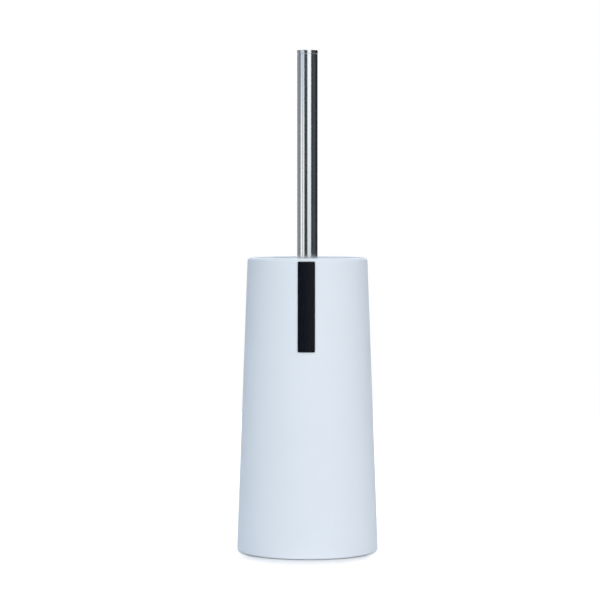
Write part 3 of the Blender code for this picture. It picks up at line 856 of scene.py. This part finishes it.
def make_core(look):
    """A round-ended body with a threaded socket in its neck and a blind hole for each tuft."""
    top = high("brush_core")
    stud_foot = low("stem")
    socket = STUD_RADIUS + SEAT_GAP
    socket_foot = stud_foot - CLEAR_CUT
    neck_foot = top - CORE_NECK_HEIGHT
    shoulder = neck_foot - CORE_SHOULDER
    bends = [math.radians(90 * step / DOME_STEPS) for step in range(1, DOME_STEPS)]
    dome = [(CORE_RADIUS * math.cos(bend), DOME_Z - CORE_RADIUS * math.sin(bend), 0) for bend in bends]
    corners = [
        (0, socket_foot, 0),
        (socket, socket_foot, 0),
        (socket, top, EDGE_ROUND),
        (CORE_NECK_RADIUS, top, EDGE_ROUND),
        (CORE_NECK_RADIUS, neck_foot, EDGE_ROUND),
        (CORE_RADIUS, shoulder, EDGE_ROUND),
        (CORE_RADIUS, DOME_Z, 0),
        *dome,
        (0, DOME_Z - CORE_RADIUS, 0),
    ]
    core = mesh_object("core_body", turned(corners, ROD_SEGMENTS))
    holes = bmesh.new()
    for index in range(1, TUFTS + 1):
        matrix = tuft_frame(tuft_node(index))[0]
        mouth = matrix @ Matrix.Translation((0, 0, HOLE_DEPTH - SEAT_GAP))
        add_cylinder(holes, HOLE_RADIUS, 2 * HOLE_DEPTH, mouth, HOLE_SEGMENTS)
    combine(core, holes, "DIFFERENCE")
    shade(core, look)
    place(core, "brush", "brush_core")


def bristle(shape, matrix, start, tip, sway):
    """Adds one filament: straight out of its hole, then easing out to its tip, with a slight sway."""
    rings = []
    for step in range(BRISTLE_STEPS + 1):
        share = step / BRISTLE_STEPS
        spread = share * share * (1 + BRISTLE_CURL - BRISTLE_CURL * share)
        x = start.x + (tip.x - start.x) * spread + sway.x * math.sin(math.pi * share)
        y = start.y + (tip.y - start.y) * spread + sway.y * math.sin(math.pi * share)
        z = start.z + (tip.z - start.z) * share
        radius = BRISTLE_RADIUS * (1 - BRISTLE_TAPER * share)
        ring = []
        for bend in evenly(BRISTLE_SIDES):
            point = Vector((x + radius * math.cos(bend), y + radius * math.sin(bend), z))
            ring.append(shape.verts.new(matrix @ point))
        rings.append(ring)
    for lower, upper in zip(rings, rings[1:]):
        for index in range(BRISTLE_SIDES):
            after = (index + 1) % BRISTLE_SIDES
            shape.faces.new((lower[index], lower[after], upper[after], upper[index]))
    shape.faces.new(reversed(rings[0]))
    shape.faces.new(rings[-1])


def make_tuft(index, look):
    """A bundle of filaments on a sunflower pattern, trimmed to the CAD tuft's domed oval end."""
    node = tuft_node(index)
    matrix, reach = tuft_frame(node)
    rng = random.Random(index)
    shape = bmesh.new()
    golden = math.pi * (3 - math.sqrt(5))
    hole = HOLE_RADIUS - SEAT_GAP - 2 * BRISTLE_RADIUS
    for number in range(BRISTLES_PER_TUFT):
        share = math.sqrt((number + 0.5) / BRISTLES_PER_TUFT)
        angle = number * golden + rng.uniform(-BRISTLE_SHIFT, BRISTLE_SHIFT)
        x, y = share * math.cos(angle), share * math.sin(angle)
        start = Vector((hole * x, hole * y, BRISTLE_RADIUS))
        fan = FAN + rng.uniform(*FAN_SPREAD)
        width = reach[0] * x * fan
        depth = reach[1] * y * fan
        drop = (width * width + depth * depth) / (2 * reach[2])
        height = reach[2] - drop - abs(rng.gauss(0, TRIM_SPREAD)) - TRIM
        tip = Vector((width, depth, height))
        sway = Vector((rng.gauss(0, BRISTLE_SWAY), rng.gauss(0, BRISTLE_SWAY), 0))
        bristle(shape, matrix, start, tip, sway)
    tuft = mesh_object(f"bristles_{index:02d}", shape)
    shade(tuft, look, sharp=60)
    place(tuft, "brush", node)


# ---- Stage, light and camera ----

PHOTO_SIDE = 600
CAMERA_DISTANCE = 1.8335
CAMERA_HEIGHT = 0.2665
CAMERA_AZIMUTH = 1.06
CAMERA_PITCH = -2.223
CAMERA_YAW = 0.182
FOCAL_PIXELS = 2360.0
SENSOR = 36.0
CLIP_START = 0.05
CLIP_END = 20.0

FLOOR_RADIUS = 1.25
FLOOR_LIFT = 0.47
FOOT_GLOW = 0.16
FOOT_GLOW_REACH = 0.03
FOOT_GLOW_MIDDLE = 0.01  # half the width of the stretch over which the glow is full
FOOT_GLOW_SIDE = 0.25  # share of the glow that is left beside the foot
# Reach and width of the contact shadow painted into the floor's camera-seen lift.
FOOT_SHADE_REACH = 0.040
FOOT_SHADE_WIDTH = 0.8  # share of the foot's radius over which the shade is full

SURROUND = (0.60, 0.75, 1.0)
SURROUND_STRENGTH = 0.045

PANEL_DISTANCE = 1.6
SOFTBOX_DISTANCE = 2.55


def seen_by_camera(tree):
    return tree.nodes.new("ShaderNodeLightPath").outputs["Is Camera Ray"]


def painted_shadow_openness(tree, across, along):
    """Painted contact shadow: 0 to 1 with the distance straight in front of the foot or behind it; 1 beside
    it.

    across and along are a spot's distances from the axis, along X and along Y.
    """
    foot = outer_radius(0)
    square = calculated(tree, "MULTIPLY", across, across)
    chord = calculated(tree, "SQRT", calculated(tree, "SUBTRACT", foot**2, square))
    ahead = calculated(tree, "SUBTRACT", along, chord)
    lengthwise = remap(tree, ahead, 0, 1, 0, FOOT_SHADE_REACH)
    beside = remap(tree, across, 0, 1, FOOT_SHADE_WIDTH * foot, foot)
    return calculated(tree, "MAXIMUM", lengthwise, beside)


def make_floor():
    """A matt white floor.

    The camera sees it lifted, so that it runs into the white behind, and less so just in front of the foot
    and behind it, which paints a soft contact shadow there. What the floor itself lights is only the foot,
    from a faint glow round it that is weaker to the sides, as an overexposed white sweep would.
    """
    shape = bmesh.new()
    bmesh.ops.create_circle(shape, cap_ends=True, radius=FLOOR_RADIUS, segments=FLOOR_SEGMENTS)
    floor = mesh_object("floor", shape)
    look, tree, shader = new_look("white_floor", Roughness=0.9, Specular_IOR_Level=0.1)
    white = blended(tree, noise(tree, 3, 2), (0.845, 0.850, 0.855), (0.855, 0.860, 0.865))
    tree.links.new(white, shader.inputs["Base Color"])

    spot = stretched(tree)
    parts = tree.nodes.new("ShaderNodeSeparateXYZ")
    tree.links.new(spot, parts.inputs["Vector"])
    across = calculated(tree, "ABSOLUTE", parts.outputs["X"])
    along = calculated(tree, "ABSOLUTE", parts.outputs["Y"])
    from_axis = tree.nodes.new("ShaderNodeVectorMath")
    from_axis.operation = "LENGTH"
    tree.links.new(spot, from_axis.inputs[0])
    foot = outer_radius(0)
    ring = remap(tree, from_axis.outputs["Value"], FOOT_GLOW, 0, foot, foot + FOOT_GLOW_REACH)
    middle = remap(tree, across, 1, FOOT_GLOW_SIDE, FOOT_GLOW_MIDDLE, foot)
    glow = calculated(tree, "MULTIPLY", ring, middle)
    shown = tree.nodes.new("ShaderNodeMix")
    tree.links.new(seen_by_camera(tree), shown.inputs["Factor"])
    tree.links.new(glow, shown.inputs["A"])
    # The camera-seen lift is dimmed in front of the foot and behind it: a painted contact shadow.
    tree.links.new(remap(tree, painted_shadow_openness(tree, across, along), 0, FLOOR_LIFT, 0, 1), shown.inputs["B"])
    tree.links.new(shown.outputs["Result"], shader.inputs["Emission Strength"])
    shader.inputs["Emission Color"].default_value = (1, 1, 1, 1)
    floor.data.materials.append(look)


def make_world():
    """White behind the object for the camera, and a dim even surround for the light that reaches it."""
    world = bpy.data.worlds.new("studio")
    bpy.context.scene.world = world
    world.use_nodes = True
    tree = world.node_tree
    surround = tree.nodes["Background"]
    surround.inputs["Color"].default_value = (*SURROUND, 1)
    surround.inputs["Strength"].default_value = SURROUND_STRENGTH
    backdrop = tree.nodes.new("ShaderNodeBackground")
    backdrop.inputs["Color"].default_value = (1, 1, 1, 1)
    backdrop.inputs["Strength"].default_value = 1.0
    mix = tree.nodes.new("ShaderNodeMixShader")
    tree.links.new(seen_by_camera(tree), mix.inputs["Fac"])
    tree.links.new(surround.outputs["Background"], mix.inputs[1])
    tree.links.new(backdrop.outputs["Background"], mix.inputs[2])
    tree.links.new(mix.outputs["Shader"], tree.nodes["World Output"].inputs["Surface"])


def faded(tree, value, low_edge, high_edge, dim):
    """Rises from dim to 1 within low_edge of one side, and falls to dim within high_edge of the other."""
    ramps = []
    for start, end in ((0, low_edge), (1, 1 - high_edge)):
        ramp = tree.nodes.new("ShaderNodeMapRange")
        ramp.interpolation_type = "SMOOTHSTEP"
        ramp.inputs["From Min"].default_value = start
        ramp.inputs["From Max"].default_value = end
        ramp.inputs["To Min"].default_value = dim
        tree.links.new(value, ramp.inputs["Value"])
        ramps.append(ramp.outputs["Result"])
    return calculated(tree, "MULTIPLY", *ramps)


def area_light(name, size, radiance, colour, fade, dim):
    """A rectangular light whose brightness fades towards its edges, as cloth over a lamp does.

    fade gives the shares of its width and height over which it fades, at its sides, its foot and its top.
    At the foot and the top it falls to dim, and at the sides to nothing.
    """
    light = bpy.data.lights.new(name, "AREA")
    width, height = size
    light.shape = "RECTANGLE"
    light.size = width
    light.size_y = height
    light.color = colour
    light.energy = radiance * width * height * math.pi
    light.use_nodes = True
    tree = light.node_tree
    place_on = tree.nodes.new("ShaderNodeNewGeometry")
    parts = tree.nodes.new("ShaderNodeSeparateXYZ")
    tree.links.new(place_on.outputs["Parametric"], parts.inputs["Vector"])
    sides, foot, top = fade
    across = faded(tree, parts.outputs["X"], sides, sides, 0)
    upright = faded(tree, parts.outputs["Y"], foot, top, dim)
    strength = calculated(tree, "MULTIPLY", across, upright)
    tree.links.new(strength, tree.nodes["Emission"].inputs["Strength"])
    made = add_object(name, light)
    made.visible_camera = False
    return made


def heading(azimuth, elevation=0):
    """The direction from the object. Azimuth 0 is towards -Y, 90 towards +X."""
    around, up = math.radians(azimuth), math.radians(elevation)
    return Vector((math.sin(around) * math.cos(up), -math.cos(around) * math.cos(up), math.sin(up)))


def panel(name, azimuths, heights, radiance, colour=(1, 1, 1), fade=(0.05, 0.2, 0.2), dim=0):
    """An upright light between two azimuths and two heights. The steel mirrors these, and little else."""
    start, end = azimuths
    foot, top = heights
    width = 2 * PANEL_DISTANCE * math.tan(math.radians(end - start) / 2)
    light = area_light(name, (width, top - foot), radiance, colour, fade, dim)
    away = heading((start + end) / 2)
    light.location = away * PANEL_DISTANCE + Vector((0, 0, (foot + top) / 2))
    light.rotation_euler = away.to_track_quat("Z", "Y").to_euler()


def softbox(name, direction, size, radiance, colour=(1, 1, 1)):
    """A light above the steel's mirror line that looks down at the object from an (azimuth, elevation)."""
    light = area_light(name, size, radiance, colour, fade=(0.2, 0.2, 0.2), dim=0)
    away = heading(*direction)
    light.location = away * SOFTBOX_DISTANCE + Vector((0, 0, (cad_box[0].z + cad_box[1].z) / 2))
    light.rotation_euler = away.to_track_quat("Z", "Y").to_euler()


def make_lights():
    """The lights, by name: where each stands, its brightness and its colour."""
    cool = (0.95, 0.98, 1.0)
    pale = (0.91, 0.965, 1.0)
    sky = (0.765, 0.875, 1.0)
    front = (-2.4, 43.9)
    short = (0.06, 0.50)
    tall = (0.06, 0.66)
    panel("left_panel_far", (-84, -60), short, 1.39, (0.975, 0.99, 1.0), fade=(0.05, 0.1, 0.39))
    panel("left_panel_near", (-56, -34), short, 1.22, (0.985, 1.0, 0.97), fade=(0.05, 0.1, 0.39))
    panel("left_panel_upper", (-84, -34), (0.33, 0.75), 0.98, sky, fade=(0.05, 0.38, 0.3))
    panel("grey_panel", (-150, -92), tall, 0.385, (0.86, 0.90, 1.0))
    panel("front_panel", front, (0.0, 0.90), 1.43, pale, fade=(0.14, 0.55, 0.2), dim=0.57)
    panel("front_panel_blue", front, (0.0, 0.60), 0.41, (0.0, 0.45, 1.0), fade=(0.14, 0.05, 0.8))
    panel("middle_strip", (-32, -4), tall, 0.035, (0.5, 0.75, 1.0))
    panel("edge_strip", (56, 102), tall, 0.055, cool)
    panel("back_panel", (150, 200), tall, 0.90, cool)
    softbox("overhead", (0, 90), (4.8, 4.8), 0.67, (0.94, 0.98, 1.0))
    softbox("front_softbox", (5, 32), (3.6, 1.8), 2.40, (0.975, 0.95, 0.91))
    softbox("front_right_softbox", (45, 32), (2.1, 1.2), 1.80, (1.0, 0.93, 0.86))
    softbox("right_softbox", (100, 42), (2.1, 1.2), 1.45, (0.81, 0.88, 1.0))
    softbox("left_softbox", (-100, 42), (2.1, 1.2), 2.00, (0.645, 0.77, 1.0))
    softbox("back_softbox", (180, 42), (2.7, 1.2), 3.04, cool)
    softbox("back_low_softbox", (178, 26), (3.0, 1.05), 1.60)


def make_camera():
    data = bpy.data.cameras.new("camera")
    data.sensor_width = SENSOR
    data.lens = SENSOR * FOCAL_PIXELS / PHOTO_SIDE
    data.clip_start = CLIP_START
    data.clip_end = CLIP_END
    camera = add_object("camera", data)
    around = math.radians(CAMERA_AZIMUTH)
    camera.location = (
        CAMERA_DISTANCE * math.sin(around),
        -CAMERA_DISTANCE * math.cos(around),
        CAMERA_HEIGHT,
    )
    camera.rotation_euler = (math.radians(90 + CAMERA_PITCH), 0, around + math.radians(CAMERA_YAW))
    bpy.context.scene.camera = camera


# ---- Assembly ----


def main():
    bpy.context.scene.view_settings.view_transform = "Standard"
    lacquer = soft_touch("soft_touch_white")
    inner = moulded("moulded_white", (0.80, 0.815, 0.83), (0.77, 0.785, 0.80), 0.38)
    grey = moulded("moulded_grey", (0.575, 0.605, 0.625), (0.53, 0.56, 0.58), 0.32)
    fibre = nylon("nylon_bristle")
    steel = polished_steel("polished_steel")

    make_shell(lacquer)
    make_label(satin_black("satin_black"))
    make_base(inner)
    make_pads(rubber("dark_rubber"))
    make_cup(grey)
    make_lid(lacquer)
    make_tube(steel)
    make_cap(steel)
    make_insert(inner)
    make_stem(inner)
    make_core(inner)
    for index in range(1, TUFTS + 1):
        make_tuft(index, fibre)

    make_floor()
    make_world()
    make_lights()
    make_camera()


main()
